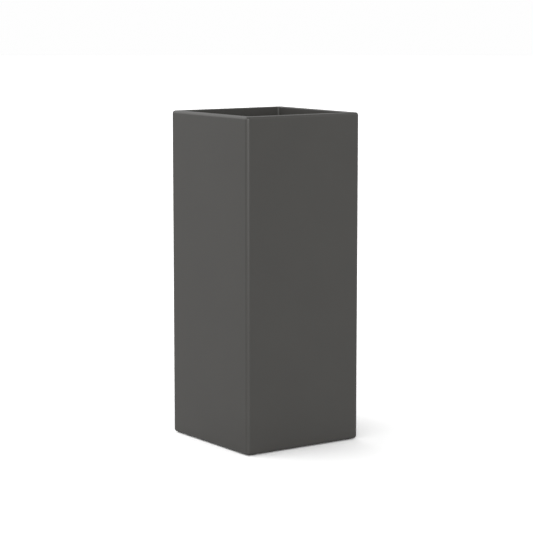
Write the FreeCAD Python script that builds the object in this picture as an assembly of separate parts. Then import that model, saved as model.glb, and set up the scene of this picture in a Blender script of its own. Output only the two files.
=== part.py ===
"""Tall square fibreglass planter with a returned rim, a raised planting shelf and a plugged drain.

All sizes are in millimetres. The origin is on the floor under the middle of the planter, +Z is up,
the front faces -Y and the right side faces +X. Every function below makes one kind of piece.
"""

import FreeCAD
import Part
import math
import os

# Overall size
body_width = 312.0          # across the flat faces, the same both ways
total_height = 762.0        # floor to the top of the rim
foot_stand = 2.0            # how far the rubber feet hold the shell off the floor

# Moulded shell
wall = 4.0                  # laminate of the four walls
corner_radius = 9.0         # the four upright outside corners
rim_edge_radius = 6.5       # outside edge of the rim
base_edge_radius = 7.0      # outside edge of the bottom

# Returned rim: flat on top, then turned down inside the mouth
rim_width = 18.0            # outside face to the mouth
lip_depth = 32.0            # top of the rim to the lower edge of the lip
lip_wall = 4.0
lip_edge_radius = 2.0       # the rim's inside edge
mouth_corner_radius = 6.0

# Moulded bottom: a standing ring round a raised middle, so that drained water runs out beneath
standing_ring_width = 40.0
ring_laminate = 8.0
recess_depth = 16.0
recess_laminate = 6.0
recess_corner_radius = 16.0

# Stiffening strips laid into the rim's hollow and into the bottom's trough
rim_core_height = 20.0
core_bond_gap = 0.2         # resin round each strip

# Inside floor and the resin bead that seals it to the walls
floor_panel_thickness = 8.0
floor_panel_gap = 0.5       # panel edge to wall
bead_leg = 11.0
bead_toe = 0.8              # thickness that is left at the bead's two edges
bead_inner_corner_radius = 12.0

# Drain fitting: a flanged sleeve clamped through the floor by a locknut
drain_barrel_diameter = 30.0
drain_barrel_below_shell = 9.0
drain_flange_diameter = 48.0
drain_flange_thickness = 3.0
drain_flange_edge = 1.0
drain_bore_top_diameter = 24.0
drain_bore_foot_diameter = 21.0
drain_hole_clearance = 0.5  # barrel to the floor's hole, on the radius
gasket_diameter = 44.0
gasket_thickness = 1.5
gasket_clearance = 0.2      # gasket hole to barrel, on the radius
locknut_flats = 42.0
locknut_height = 5.0
locknut_clearance = 0.1     # nut to barrel, on the radius

# Rubber drain plug with a pull tab
plug_clearance = 0.1        # plug to bore, on the radius
plug_depth = 20.0
plug_cap_diameter = 34.0
plug_cap_height = 4.0
plug_cap_edge = 1.2
plug_tab_width = 18.0
plug_tab_height = 16.0
plug_tab_thickness = 5.0
plug_tab_corner = 6.0
grip_ridge_size = 1.6
grip_ridge_count = 3

# Rubber feet, each held by a washer and a screw
foot_diameter = 28.0
foot_pocket_depth = 4.0
foot_pocket_clearance = 0.3
foot_inset = 24.0           # foot centre to the shell's outside face
foot_edge = 0.8
foot_counterbore_diameter = 13.2
foot_counterbore_depth = 3.6
foot_hole_diameter = 5.4
washer_diameter = 12.4
washer_thickness = 1.0
screw_head_diameter = 9.5
screw_head_height = 2.0
screw_head_edge = 0.7
screw_diameter = 4.8
screw_length = 18.0         # under the head
screw_tip_length = 4.0
screw_tip_diameter = 1.2
screw_pilot_clearance = 0.1
laminate_hole_clearance = 0.3
washer_hole_clearance = 0.25

# Planting shelf, a drilled board that lifts out through the mouth
shelf_below_rim = 300.0     # top of the rim to the top of the shelf
shelf_thickness = 10.0
shelf_mouth_clearance = 3.0  # shelf edge to the mouth, each side
shelf_corner_radius = 10.0
shelf_edge = 1.0
shelf_hole_diameter = 12.0
shelf_hole_pitch = 52.0
shelf_holes_per_side = 4
finger_hole_diameter = 28.0
finger_hole_inset = 28.0    # hole centre to the shelf's edge

# Corner brackets that carry the shelf, bonded to the walls
bracket_web_thickness = 6.0
bracket_bearing = 24.0      # how far the shelf's corner reaches onto the web
bracket_flange_height = 36.0
bracket_flange_thickness = 4.0
bracket_bond_gap = 0.3
bracket_inside_radius = 6.0
stop_height = 6.0           # upstands that keep the shelf central
stop_thickness = 4.0
stop_length = 34.0
stop_clearance = 1.0

# Places that follow from the sizes above
shell_bottom = foot_stand
inside_width = body_width - 2 * wall
inside_corner_radius = max(corner_radius - wall, 1.0)
mouth_width = body_width - 2 * rim_width
lip_outside_width = mouth_width + 2 * lip_wall
rim_underside = total_height - wall
lip_bottom = total_height - lip_depth
trough_floor = shell_bottom + ring_laminate
recess_width = body_width - 2 * standing_ring_width
recess_ceiling = shell_bottom + recess_depth
raised_width = recess_width + 2 * recess_laminate
floor_level = recess_ceiling + recess_laminate
floor_top = floor_level + floor_panel_thickness
drain_hole_diameter = drain_barrel_diameter + 2 * drain_hole_clearance
flange_bottom = floor_top + gasket_thickness
flange_top = flange_bottom + drain_flange_thickness
barrel_bottom = recess_ceiling - drain_barrel_below_shell
foot_height = foot_stand + foot_pocket_depth
foot_centre = body_width / 2 - foot_inset
shelf_width = mouth_width - 2 * shelf_mouth_clearance
shelf_top = total_height - shelf_below_rim
shelf_bottom = shelf_top - shelf_thickness

touching = 0.001            # two heights nearer than this are the same height
corners = {
    "front_left": (-1, -1),
    "front_right": (1, -1),
    "back_left": (-1, 1),
    "back_right": (1, 1),
}


def vertical_edges(shape):
    """The straight upright edges of a shape."""
    found = []
    for edge in shape.Edges:
        box = edge.BoundBox
        if box.XLength < touching and box.YLength < touching and box.ZLength > touching:
            found.append(edge)
    return found


def level_edges(shape, z):
    """The edges of a shape that lie at one height."""
    return [
        edge
        for edge in shape.Edges
        if abs(edge.BoundBox.ZMin - z) < touching and abs(edge.BoundBox.ZMax - z) < touching
    ]


def square_block(width, z_low, z_high, radius):
    """A square block centred on the Z axis, with its upright corners rounded."""
    block = Part.makeBox(width, width, z_high - z_low, FreeCAD.Vector(-width / 2, -width / 2, z_low))
    return block.makeFillet(radius, vertical_edges(block))


def level_square(width, z, radius):
    """A flat square outline with rounded corners, as the end of a loft."""
    return Part.Wire(level_edges(square_block(width, z - 1.0, z, radius), z))


def disc(diameter, z_low, z_high, centre=(0.0, 0.0)):
    """An upright cylinder between two heights."""
    return Part.makeCylinder(diameter / 2, z_high - z_low, FreeCAD.Vector(*centre, z_low))


def turned(outline):
    """A solid of revolution about the Z axis. outline lists (radius, height) corners."""
    points = [FreeCAD.Vector(radius, 0, z) for radius, z in outline]
    face = Part.Face(Part.makePolygon(points + points[:1]))
    return face.revolve(FreeCAD.Vector(0, 0, 0), FreeCAD.Vector(0, 0, 1), 360)


def to_corner(shape, side_x, side_y):
    """A piece made for the back right corner, mirrored to another corner."""
    moved = shape.copy()
    if side_x < 0:
        moved = moved.mirror(FreeCAD.Vector(0, 0, 0), FreeCAD.Vector(1, 0, 0))
    if side_y < 0:
        moved = moved.mirror(FreeCAD.Vector(0, 0, 0), FreeCAD.Vector(0, 1, 0))
    return moved


def foot_places():
    """The centres of the four feet."""
    return [(side_x * foot_centre, side_y * foot_centre) for side_x, side_y in corners.values()]


def edge_radius(radius):
    """An outside edge radius, limited by the upright corner that it runs round."""
    return min(radius, corner_radius - 0.5)


def outer_shell():
    """One moulded piece: four walls, returned rim and bottom with its raised middle."""
    body = square_block(body_width, shell_bottom, total_height, corner_radius)
    body = body.makeFillet(edge_radius(rim_edge_radius), level_edges(body, total_height))
    body = body.makeFillet(edge_radius(base_edge_radius), level_edges(body, shell_bottom))

    hollow = square_block(inside_width, trough_floor, rim_underside, inside_corner_radius)
    bend_radius = min(max(rim_edge_radius - wall, 0.5), inside_corner_radius - 0.2)
    hollow = hollow.makeFillet(bend_radius, level_edges(hollow, rim_underside))
    raised = square_block(raised_width, trough_floor - 1.0, floor_level, recess_corner_radius + recess_laminate)
    lip = square_block(lip_outside_width, lip_bottom, total_height, mouth_corner_radius + lip_wall)
    hollow = hollow.cut(raised).cut(lip)

    mouth = square_block(mouth_width, lip_bottom - 1.0, total_height, mouth_corner_radius)
    recess = square_block(recess_width, shell_bottom - 1.0, recess_ceiling, recess_corner_radius)
    shell = body.cut(hollow).cut(mouth).cut(recess)
    shell = shell.cut(disc(drain_hole_diameter, recess_ceiling - 1.0, floor_level + 1.0))
    pocket_diameter = foot_diameter + 2 * foot_pocket_clearance
    for place in foot_places():
        shell = shell.cut(disc(pocket_diameter, shell_bottom - 1.0, foot_height, place))
        hole_diameter = screw_diameter + 2 * laminate_hole_clearance
        shell = shell.cut(disc(hole_diameter, foot_height - 1.0, trough_floor + 1.0, place))
    return rounded_mouth(shell)


def rounded_mouth(shell):
    """The shell with the rim's inside edge rounded."""
    reach = mouth_width / 2 + touching
    inside_edge = [
        edge
        for edge in level_edges(shell, total_height)
        if edge.BoundBox.XMin > -reach
        and edge.BoundBox.XMax < reach
        and edge.BoundBox.YMin > -reach
        and edge.BoundBox.YMax < reach
    ]
    return shell.makeFillet(min(lip_edge_radius, lip_wall - 0.5), inside_edge)


def strip(length, width, z_low, z_high, side):
    """A straight strip along X, with its outer face at y = side."""
    corner = FreeCAD.Vector(-length / 2, side - width, z_low)
    return Part.makeBox(length, width, z_high - z_low, corner)


def strip_frame(outer_width, inner_width, z_low, z_high, outer_radius, inner_radius, top_chamfer):
    """Four strips that fill a square channel: front and back run through, the sides fit between."""
    width = (outer_width - inner_width) / 2 - 2 * core_bond_gap
    outer_face = outer_width / 2 - core_bond_gap
    channel = square_block(2 * outer_face, z_low, z_high, max(outer_radius - core_bond_gap, 0.5))
    if top_chamfer > 0:
        channel = channel.makeChamfer(top_chamfer, level_edges(channel, z_high))
    core = square_block(inner_width + 2 * core_bond_gap, z_low - 1.0, z_high + 1.0, inner_radius + core_bond_gap)
    channel = channel.cut(core)
    long_strip = strip(2 * outer_face, width, z_low, z_high, outer_face)
    short_length = 2 * (outer_face - width - core_bond_gap)
    short_strip = strip(short_length, width, z_low, z_high, outer_face)
    quarter_turns = {"back": 0, "left": 1, "front": 2, "right": 3}
    frame = {}
    for side, turns in quarter_turns.items():
        piece = (short_strip if turns % 2 else long_strip).copy()
        piece.rotate(FreeCAD.Vector(0, 0, 0), FreeCAD.Vector(0, 0, 1), 90 * turns)
        frame[side] = channel.common(piece)
    return frame


def rim_cores():
    """Strips bonded up inside the rim's hollow, which stiffen the mouth."""
    bend = max(rim_edge_radius - wall, 0.5)
    return strip_frame(
        inside_width,
        lip_outside_width,
        rim_underside - rim_core_height,
        rim_underside,
        inside_corner_radius,
        mouth_corner_radius + lip_wall,
        bend,
    )


def base_cores():
    """Strips laid in the trough round the raised middle. The foot screws bite into them."""
    frame = strip_frame(
        inside_width,
        raised_width,
        trough_floor,
        floor_level,
        inside_corner_radius,
        recess_corner_radius + recess_laminate,
        0,
    )
    pilot_diameter = screw_diameter + 2 * screw_pilot_clearance
    pilot_top = foot_counterbore_depth - washer_thickness + screw_length + 1.0
    for place in foot_places():
        pilot = disc(pilot_diameter, trough_floor - 1.0, min(pilot_top, floor_level), place)
        frame = {side: piece.cut(pilot) for side, piece in frame.items()}
    return frame


def floor_panel():
    """The flat inside floor, laid over the raised middle and the base strips."""
    width = inside_width - 2 * floor_panel_gap
    radius = max(inside_corner_radius - floor_panel_gap, 0.5)
    panel = square_block(width, floor_level, floor_top, radius)
    return panel.cut(disc(drain_hole_diameter, floor_level - 1.0, floor_top + 1.0))


def floor_bead():
    """Resin bead in the corner between the floor and the walls, all the way round."""
    top = floor_top + bead_leg
    block = square_block(inside_width, floor_top, top, inside_corner_radius)
    foot = level_square(inside_width - 2 * bead_leg, floor_top + bead_toe, bead_inner_corner_radius)
    head_radius = max(inside_corner_radius - bead_toe, 0.5)
    head = level_square(inside_width - 2 * bead_toe, top, head_radius)
    flare = Part.makeLoft([foot, head], True, True)
    stub = square_block(inside_width - 2 * bead_leg, floor_top - 1.0, floor_top + bead_toe, bead_inner_corner_radius)
    return block.cut(flare).cut(stub)


def drain_bush():
    """Flanged sleeve through the floor. Its bore narrows downwards to seat the plug."""
    barrel = drain_barrel_diameter / 2
    flange = drain_flange_diameter / 2
    return turned(
        [
            (drain_bore_foot_diameter / 2, barrel_bottom),
            (barrel, barrel_bottom),
            (barrel, flange_bottom),
            (flange, flange_bottom),
            (flange, flange_top - drain_flange_edge),
            (flange - drain_flange_edge, flange_top),
            (drain_bore_top_diameter / 2, flange_top),
        ]
    )


def drain_gasket():
    """Rubber ring between the sleeve's flange and the floor."""
    ring = disc(gasket_diameter, floor_top, flange_bottom)
    hole_diameter = drain_barrel_diameter + 2 * gasket_clearance
    return ring.cut(disc(hole_diameter, floor_top - 1.0, flange_bottom + 1.0))


def drain_locknut():
    """Hexagonal nut that clamps the sleeve from beneath, inside the recess."""
    reach = locknut_flats / 2 / math.cos(math.pi / 6)
    low = recess_ceiling - locknut_height
    points = []
    for step in range(7):
        angle = math.radians(60 * step)
        points.append(FreeCAD.Vector(reach * math.cos(angle), reach * math.sin(angle), low))
    nut = Part.Face(Part.makePolygon(points)).extrude(FreeCAD.Vector(0, 0, locknut_height))
    hole_diameter = drain_barrel_diameter + 2 * locknut_clearance
    return nut.cut(disc(hole_diameter, low - 1.0, recess_ceiling + 1.0))


def bore_radius(z):
    """The sleeve's bore radius at a height."""
    share = (z - barrel_bottom) / (flange_top - barrel_bottom)
    narrow, wide = drain_bore_foot_diameter / 2, drain_bore_top_diameter / 2
    return narrow + share * (wide - narrow)


def drain_plug():
    """Tapered rubber plug with a cap that rests on the sleeve and a ridged tab to pull."""
    plug_foot = flange_top - plug_depth
    cap_top = flange_top + plug_cap_height
    cap = plug_cap_diameter / 2
    body = turned(
        [
            (0, plug_foot),
            (bore_radius(plug_foot) - plug_clearance, plug_foot),
            (bore_radius(flange_top) - plug_clearance, flange_top),
            (cap, flange_top),
            (cap, cap_top - plug_cap_edge),
            (cap - plug_cap_edge, cap_top),
            (0, cap_top),
        ]
    )
    tab_low = cap_top - 1.0
    tab_top = cap_top + plug_tab_height
    tab = Part.makeBox(
        plug_tab_width,
        plug_tab_thickness,
        tab_top - tab_low,
        FreeCAD.Vector(-plug_tab_width / 2, -plug_tab_thickness / 2, tab_low),
    )
    top_corners = [
        edge
        for edge in level_edges(tab, tab_top)
        if edge.BoundBox.YLength > edge.BoundBox.XLength
    ]
    body = body.fuse(tab.makeFillet(plug_tab_corner, top_corners))
    ridge_pitch = plug_tab_height / (grip_ridge_count + 1)
    for step in range(grip_ridge_count):
        height = cap_top + ridge_pitch * (step + 1)
        ridge_length = plug_tab_width - 2 * plug_tab_corner
        for face in (-1, 1):
            start = FreeCAD.Vector(-ridge_length / 2, face * plug_tab_thickness / 2, height)
            along = FreeCAD.Vector(1, 0, 0)
            body = body.fuse(Part.makeCylinder(grip_ridge_size / 2, ridge_length, start, along))
    return body


def rubber_foot():
    """A round rubber foot at the back right corner, sunk in its pocket."""
    radius = foot_diameter / 2
    foot = turned(
        [
            (foot_hole_diameter / 2, foot_counterbore_depth),
            (foot_counterbore_diameter / 2, foot_counterbore_depth),
            (foot_counterbore_diameter / 2, 0),
            (radius - foot_edge, 0),
            (radius, foot_edge),
            (radius, foot_height),
            (foot_hole_diameter / 2, foot_height),
        ]
    )
    foot.translate(FreeCAD.Vector(foot_centre, foot_centre, 0))
    return foot


def foot_washer():
    """The plain washer under a foot's screw head."""
    washer = disc(washer_diameter, foot_counterbore_depth - washer_thickness, foot_counterbore_depth)
    hole = disc(screw_diameter + 2 * washer_hole_clearance, 0, foot_counterbore_depth + 1.0)
    washer = washer.cut(hole)
    washer.translate(FreeCAD.Vector(foot_centre, foot_centre, 0))
    return washer


def foot_screw():
    """The wood screw that holds a foot: low round head, plain shank and a point."""
    seat = foot_counterbore_depth - washer_thickness
    tip = seat + screw_length
    screw = turned(
        [
            (0, seat - screw_head_height),
            (screw_head_diameter / 2 - screw_head_edge, seat - screw_head_height),
            (screw_head_diameter / 2, seat - screw_head_height + screw_head_edge),
            (screw_head_diameter / 2, seat),
            (screw_diameter / 2, seat),
            (screw_diameter / 2, tip - screw_tip_length),
            (screw_tip_diameter / 2, tip),
            (0, tip),
        ]
    )
    screw.translate(FreeCAD.Vector(foot_centre, foot_centre, 0))
    return screw


def shelf_bracket():
    """Corner bracket for the back right corner: web, two bonded flanges and two upstands."""
    corner = inside_width / 2 - bracket_bond_gap
    shelf_edge_at = shelf_width / 2
    leg = 2 * (corner - shelf_edge_at) + bracket_bearing * math.sqrt(2)
    web_low = shelf_bottom - bracket_web_thickness
    flange_low = web_low - bracket_flange_height

    def gusset(z, reach, height):
        """A right-angled triangle in the corner, raised into a solid."""
        points = [
            FreeCAD.Vector(corner, corner, z),
            FreeCAD.Vector(corner - reach, corner, z),
            FreeCAD.Vector(corner, corner - reach, z),
        ]
        return Part.Face(Part.makePolygon(points + points[:1])).extrude(FreeCAD.Vector(0, 0, height))

    bracket = gusset(flange_low, leg, shelf_bottom - flange_low)
    within = 2 * (corner - bracket_flange_thickness)
    hollow = square_block(within, flange_low - 1.0, web_low, bracket_inside_radius)
    bracket = bracket.cut(hollow)

    stop_inner = shelf_edge_at + stop_clearance
    stop_outer = stop_inner + stop_thickness
    ring = square_block(2 * stop_outer, web_low, shelf_bottom + stop_height, shelf_corner_radius + stop_thickness)
    ring = ring.cut(square_block(2 * stop_inner, web_low - 1.0, shelf_bottom + stop_height + 1.0, shelf_corner_radius))
    reach = shelf_edge_at - stop_length
    window = Part.makeBox(leg, leg, stop_height + 1.0, FreeCAD.Vector(reach, reach, shelf_bottom - 1.0))
    bracket = bracket.fuse(ring.common(window).common(gusset(web_low, leg, leg)))

    wall_corner = square_block(2 * corner, flange_low - 1.0, shelf_bottom + leg, max(inside_corner_radius, 1.0))
    return bracket.common(wall_corner).removeSplitter()


def planting_shelf():
    """The drilled board that carries the soil. Two finger holes lift it out."""
    shelf = square_block(shelf_width, shelf_bottom, shelf_top, shelf_corner_radius)
    shelf = shelf.makeChamfer(shelf_edge, level_edges(shelf, shelf_top) + level_edges(shelf, shelf_bottom))
    first = -shelf_hole_pitch * (shelf_holes_per_side - 1) / 2
    places = [first + shelf_hole_pitch * step for step in range(shelf_holes_per_side)]
    for x in places:
        for y in places:
            shelf = shelf.cut(disc(shelf_hole_diameter, shelf_bottom - 1.0, shelf_top + 1.0, (x, y)))
    for side in (-1, 1):
        place = (side * (shelf_width / 2 - finger_hole_inset), 0.0)
        shelf = shelf.cut(disc(finger_hole_diameter, shelf_bottom - 1.0, shelf_top + 1.0, place))
    return shelf


def all_pieces():
    """Every node's name and shape."""
    pieces = {
        "outer_shell": outer_shell(),
        "floor_panel": floor_panel(),
        "floor_bead": floor_bead(),
        "drain_bush": drain_bush(),
        "drain_gasket": drain_gasket(),
        "drain_locknut": drain_locknut(),
        "drain_plug": drain_plug(),
        "planting_shelf": planting_shelf(),
    }
    for side, core in rim_cores().items():
        pieces["rim_core_" + side] = core
    for side, core in base_cores().items():
        pieces["base_core_" + side] = core
    foot, washer, screw, bracket = rubber_foot(), foot_washer(), foot_screw(), shelf_bracket()
    for corner, sides in corners.items():
        pieces["foot_" + corner] = to_corner(foot, *sides)
        pieces["shelf_bracket_" + corner] = to_corner(bracket, *sides)
    pieces["foot_washers"] = Part.makeCompound([to_corner(washer, *sides) for sides in corners.values()])
    pieces["foot_screws"] = Part.makeCompound([to_corner(screw, *sides) for sides in corners.values()])
    return pieces


def main():
    """Writes each piece to its own STEP file and prints its volume."""
    os.makedirs("parts", exist_ok=True)
    for name, shape in sorted(all_pieces().items()):
        solids = shape.Solids
        whole = solids[0] if len(solids) == 1 else Part.makeCompound(solids)
        whole.exportStep(os.path.join("parts", name + ".step"))
        state = "valid" if whole.isValid() else "NOT VALID"
        print(f"{name}: {len(solids)} solid, {whole.Volume / 1000:.2f} cm3, {state}")


main()
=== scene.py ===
"""Looks of the tall square fibreglass planter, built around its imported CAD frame.

Everything is in metres in the frame's own axes: +Z is up, the front faces -Y and the right side +X.
Each sub-assembly is a class: its fields are its sizes, and its methods build its meshes and dress
them. A CAD solid that is already right keeps its mesh and gets a finish. The others are replaced by
pieces modelled with bmesh operators, in the same place.
"""

import logging
import math
from dataclasses import dataclass
from enum import Enum
from typing import Any, Iterable, Sequence

import bmesh
import bpy
from bmesh.types import BMEdge, BMesh
from bpy.types import Material, Node, NodeSocket, NodeTree
from mathutils import Matrix, Vector, noise


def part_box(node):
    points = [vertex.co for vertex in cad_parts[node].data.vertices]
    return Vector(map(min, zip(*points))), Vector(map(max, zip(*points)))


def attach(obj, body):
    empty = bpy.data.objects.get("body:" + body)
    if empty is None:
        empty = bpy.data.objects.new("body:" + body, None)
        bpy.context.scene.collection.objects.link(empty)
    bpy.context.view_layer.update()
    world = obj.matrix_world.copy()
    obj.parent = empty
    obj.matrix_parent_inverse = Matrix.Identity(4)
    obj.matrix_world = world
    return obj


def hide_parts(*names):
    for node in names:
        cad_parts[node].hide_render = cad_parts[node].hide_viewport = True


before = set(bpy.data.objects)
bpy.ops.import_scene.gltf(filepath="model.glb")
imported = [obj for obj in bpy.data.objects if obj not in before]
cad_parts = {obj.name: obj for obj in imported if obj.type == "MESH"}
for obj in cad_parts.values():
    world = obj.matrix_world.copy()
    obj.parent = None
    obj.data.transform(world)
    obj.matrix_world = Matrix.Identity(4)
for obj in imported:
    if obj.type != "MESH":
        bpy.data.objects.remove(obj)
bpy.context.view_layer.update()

MM = 0.001
WELD_DISTANCE = 0.002 * MM
NEAR = 0.01 * MM
SHARP_ANGLE = math.radians(32.0)
CREASE_ANGLE = math.radians(60.0)
CORNERS = ("front_left", "front_right", "back_left", "back_right")
log = logging.getLogger("planter")


class Body(Enum):
    """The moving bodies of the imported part."""

    PLANTER = "planter"
    SHELF = "shelf"
    PLUG = "plug"


class Slot(Enum):
    """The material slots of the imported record."""

    SHELL = "shell_finish"
    LAMINATE = "raw_laminate"
    BEAD = "resin_bead"
    WOOD = "core_wood"
    SHELF = "shelf_plastic"
    DRAIN = "drain_plastic"
    RUBBER = "black_rubber"
    STEEL = "stainless_steel"


class Grain(Enum):
    """The direction in which a sawn strip runs."""

    ALONG_X = (0.0, 0.0, 0.0)
    ALONG_Y = (0.0, 0.0, math.pi / 2)


# --- shared mesh work ---------------------------------------------------------------------------


def rounded_square(bm: BMesh, half: float, z: float, radius: float, steps: int) -> list:
    """Add a closed outline of a square with rounded corners.

    Args:
        bm: The mesh that gets the outline.
        half: Half the distance across the flats.
        z: Height of the outline.
        radius: Corner radius.
        steps: Segments in each corner.

    Returns:
        The outline's edges.
    """
    made = bmesh.ops.create_grid(
        bm, x_segments=1, y_segments=1, size=half, matrix=Matrix.Translation((0, 0, z))
    )
    rounded = bmesh.ops.bevel(
        bm, geom=made["verts"], affect="VERTICES", offset=radius, segments=steps, profile=0.5, material=-1
    )
    edges = {edge for vert in rounded["verts"] for edge in vert.link_edges}
    faces = {face for edge in edges for face in edge.link_faces}
    bmesh.ops.delete(bm, geom=list(faces), context="FACES_ONLY")
    return list(edges)


def round_outline(bm: BMesh, radius: float, z: float, steps: int) -> list:
    """Add a closed circle and return its edges.

    Args:
        bm: The mesh that gets the circle.
        radius: Radius of the circle.
        z: Height of the circle.
        steps: Segments all the way round.

    Returns:
        The circle's edges.
    """
    turn = Matrix.Translation((0, 0, z)) @ Matrix.Rotation(math.pi / steps, 4, "Z")
    made = bmesh.ops.create_circle(bm, segments=steps, radius=radius, matrix=turn)
    return list({edge for vert in made["verts"] for edge in vert.link_edges})


def skin(bm: BMesh, outlines: Sequence[list], closed: bool = False) -> None:
    """Bridge each outline to the next one.

    The outlines are spread out in height while they are bridged, because the bridge tool can't
    line up two outlines that lie in one plane, and then go back to their own heights.

    Args:
        bm: The mesh that holds the outlines.
        outlines: Edge loops in order along the surface.
        closed: Whether the last outline is bridged back to the first.
    """
    spread = 1.0
    heights = {}
    for place, outline in enumerate(outlines):
        for vert in {vert for edge in outline for vert in edge.verts}:
            heights[vert] = vert.co.z
            vert.co.z = place * spread
    pairs = list(zip(outlines, outlines[1:]))
    if closed:
        pairs.append((outlines[-1], outlines[0]))
    for first, second in pairs:
        bmesh.ops.bridge_loops(bm, edges=first + second)
    for vert, height in heights.items():
        vert.co.z = height


def spun(
    profile: Sequence[tuple[float, float]], steps: int, centre: tuple[float, float] = (0.0, 0.0)
) -> BMesh:
    """Turn a closed outline about an upright axis.

    Args:
        profile: Corners of the outline as (radius, height), in order.
        steps: Segments all the way round.
        centre: Where the axis stands.

    Returns:
        The turned solid.
    """
    bm = bmesh.new()
    verts = [bm.verts.new((centre[0] + radius, centre[1], z)) for radius, z in profile]
    sides = list(zip(verts, verts[1:] + verts[:1]))
    edges = [bm.edges.new(side) for side in sides if max(v.co.x for v in side) - centre[0] > WELD_DISTANCE]
    bmesh.ops.spin(
        bm,
        geom=verts + edges,
        cent=(*centre, 0.0),
        axis=(0, 0, 1),
        angle=2 * math.pi,
        steps=steps,
        use_merge=True,
    )
    tidy(bm)
    return bm


def tidy(bm: BMesh) -> None:
    """Merge doubled vertices, drop collapsed faces and turn the faces outwards."""
    bmesh.ops.remove_doubles(bm, verts=bm.verts[:], dist=WELD_DISTANCE)
    bmesh.ops.dissolve_degenerate(bm, edges=bm.edges[:], dist=WELD_DISTANCE)
    bmesh.ops.delete(bm, geom=[edge for edge in bm.edges if edge.is_wire], context="EDGES")
    bmesh.ops.recalc_face_normals(bm, faces=bm.faces[:])


def edge_angle(edge: BMEdge) -> float:
    """Angle between an edge's two faces, or 0 where it has not just two."""
    return edge.calc_face_angle(0.0) if len(edge.link_faces) == 2 else 0.0


def reach(point: Vector) -> float:
    """How far a point stands out from the upright axis, across the flats of a square."""
    return max(abs(point.x), abs(point.y))


def soften(bm: BMesh, edges: Iterable, offset: float, segments: int = 3) -> None:
    """Round edges of a mesh.

    Args:
        bm: The mesh.
        edges: The edges to round.
        offset: Width of the rounding on each side of the edge.
        segments: Facets across the rounding.
    """
    bmesh.ops.bevel(
        bm,
        geom=list(edges),
        affect="EDGES",
        offset=offset,
        segments=segments,
        profile=0.5,
        material=-1,
        clamp_overlap=True,
    )


def open_edges(bm: BMesh) -> int:
    """Count the edges that haven't just two faces."""
    return sum(1 for edge in bm.edges if len(edge.link_faces) != 2)


def join(target: BMesh, part: BMesh, matrix: Matrix = Matrix.Identity(4)) -> None:
    """Add one mesh to another.

    Args:
        target: The mesh that grows.
        part: The mesh that is added, and used up.
        matrix: Where the added mesh goes.
    """
    carrier = bpy.data.meshes.new("carrier")
    part.to_mesh(carrier)
    part.free()
    carrier.transform(matrix)
    if matrix.determinant() < 0:
        carrier.flip_normals()
    target.from_mesh(carrier)
    bpy.data.meshes.remove(carrier)


def worked(bm: BMesh, kind: str, cutter: BMesh | None = None, **settings: Any) -> BMesh:
    """Run one modifier over a mesh and read the result back.

    Args:
        bm: The mesh, which is used up.
        kind: The modifier's type.
        cutter: A second mesh for a Boolean modifier, which is used up too.
        settings: The modifier's properties.

    Returns:
        The changed mesh.
    """
    holders = []
    for source in (bm, cutter):
        if source is not None:
            mesh = bpy.data.meshes.new("working")
            source.to_mesh(mesh)
            source.free()
            holders.append(bpy.data.objects.new("working", mesh))
            bpy.context.scene.collection.objects.link(holders[-1])
    modifier = holders[0].modifiers.new("working", kind)
    for key, value in settings.items():
        setattr(modifier, key, value)
    if cutter is not None:
        modifier.object = holders[1]
    bpy.context.view_layer.update()
    depsgraph = bpy.context.evaluated_depsgraph_get()
    result = bmesh.new()
    result.from_mesh(holders[0].evaluated_get(depsgraph).to_mesh())
    for holder in holders:
        mesh = holder.data
        bpy.data.objects.remove(holder)
        bpy.data.meshes.remove(mesh)
    return result


def cut_away(bm: BMesh, cutter: BMesh) -> BMesh:
    """Subtract one closed mesh from another."""
    return worked(bm, "BOOLEAN", cutter, operation="DIFFERENCE", solver="EXACT")


def helix_thread(
    radius: float, depth: float, pitch: float, z_low: float, z_high: float, steps: int
) -> BMesh:
    """Build a thread's ridge round an upright axis.

    Args:
        radius: Outside radius of the thread.
        depth: How far the ridge stands up from its root.
        pitch: Rise in one turn.
        z_low: Where the ridge starts.
        z_high: Where the ridge ends.
        steps: Segments in one turn.

    Returns:
        The closed ridge.
    """
    bm = bmesh.new()
    root = radius - depth
    foot, flank, crest = 0.42, 0.40, 0.07  # the ridge's half widths, as shares of the pitch
    lower = [(root - depth * 0.4, -foot), (root, -flank), (radius, -crest)]
    outline = lower + [(r, -share) for r, share in reversed(lower)]
    verts = [bm.verts.new((r, 0.0, z_low + pitch * (foot + share))) for r, share in outline]
    face = bm.faces.new(verts)
    turns = (z_high - z_low - 2 * foot * pitch) / pitch
    bmesh.ops.spin(
        bm,
        geom=[face, *verts, *face.edges],
        cent=(0, 0, 0),
        axis=(0, 0, 1),
        dvec=(0, 0, pitch / steps),
        angle=2 * math.pi * turns,
        steps=max(3, round(steps * turns)),
    )
    bmesh.ops.holes_fill(bm, edges=[e for e in bm.edges if e.is_boundary], sides=0)
    tidy(bm)
    return bm


def ripple(point: Vector, wavelength: float, seed: float) -> float:
    """Smooth noise of about -1 to 1 with features of one wavelength."""
    return noise.noise(point / wavelength + Vector((seed, 2.3 * seed, 5.1 * seed)))


# --- materials ----------------------------------------------------------------------------------


def linear(colour: str) -> tuple[float, float, float, float]:
    """Turn an sRGB hex colour such as "#565553" to linear red, green, blue and an alpha of 1."""
    shares = [int(colour[start : start + 2], 16) / 255 for start in (1, 3, 5)]
    red, green, blue = (s / 12.92 if s <= 0.04045 else ((s + 0.055) / 1.055) ** 2.4 for s in shares)
    return red, green, blue, 1.0


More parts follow.
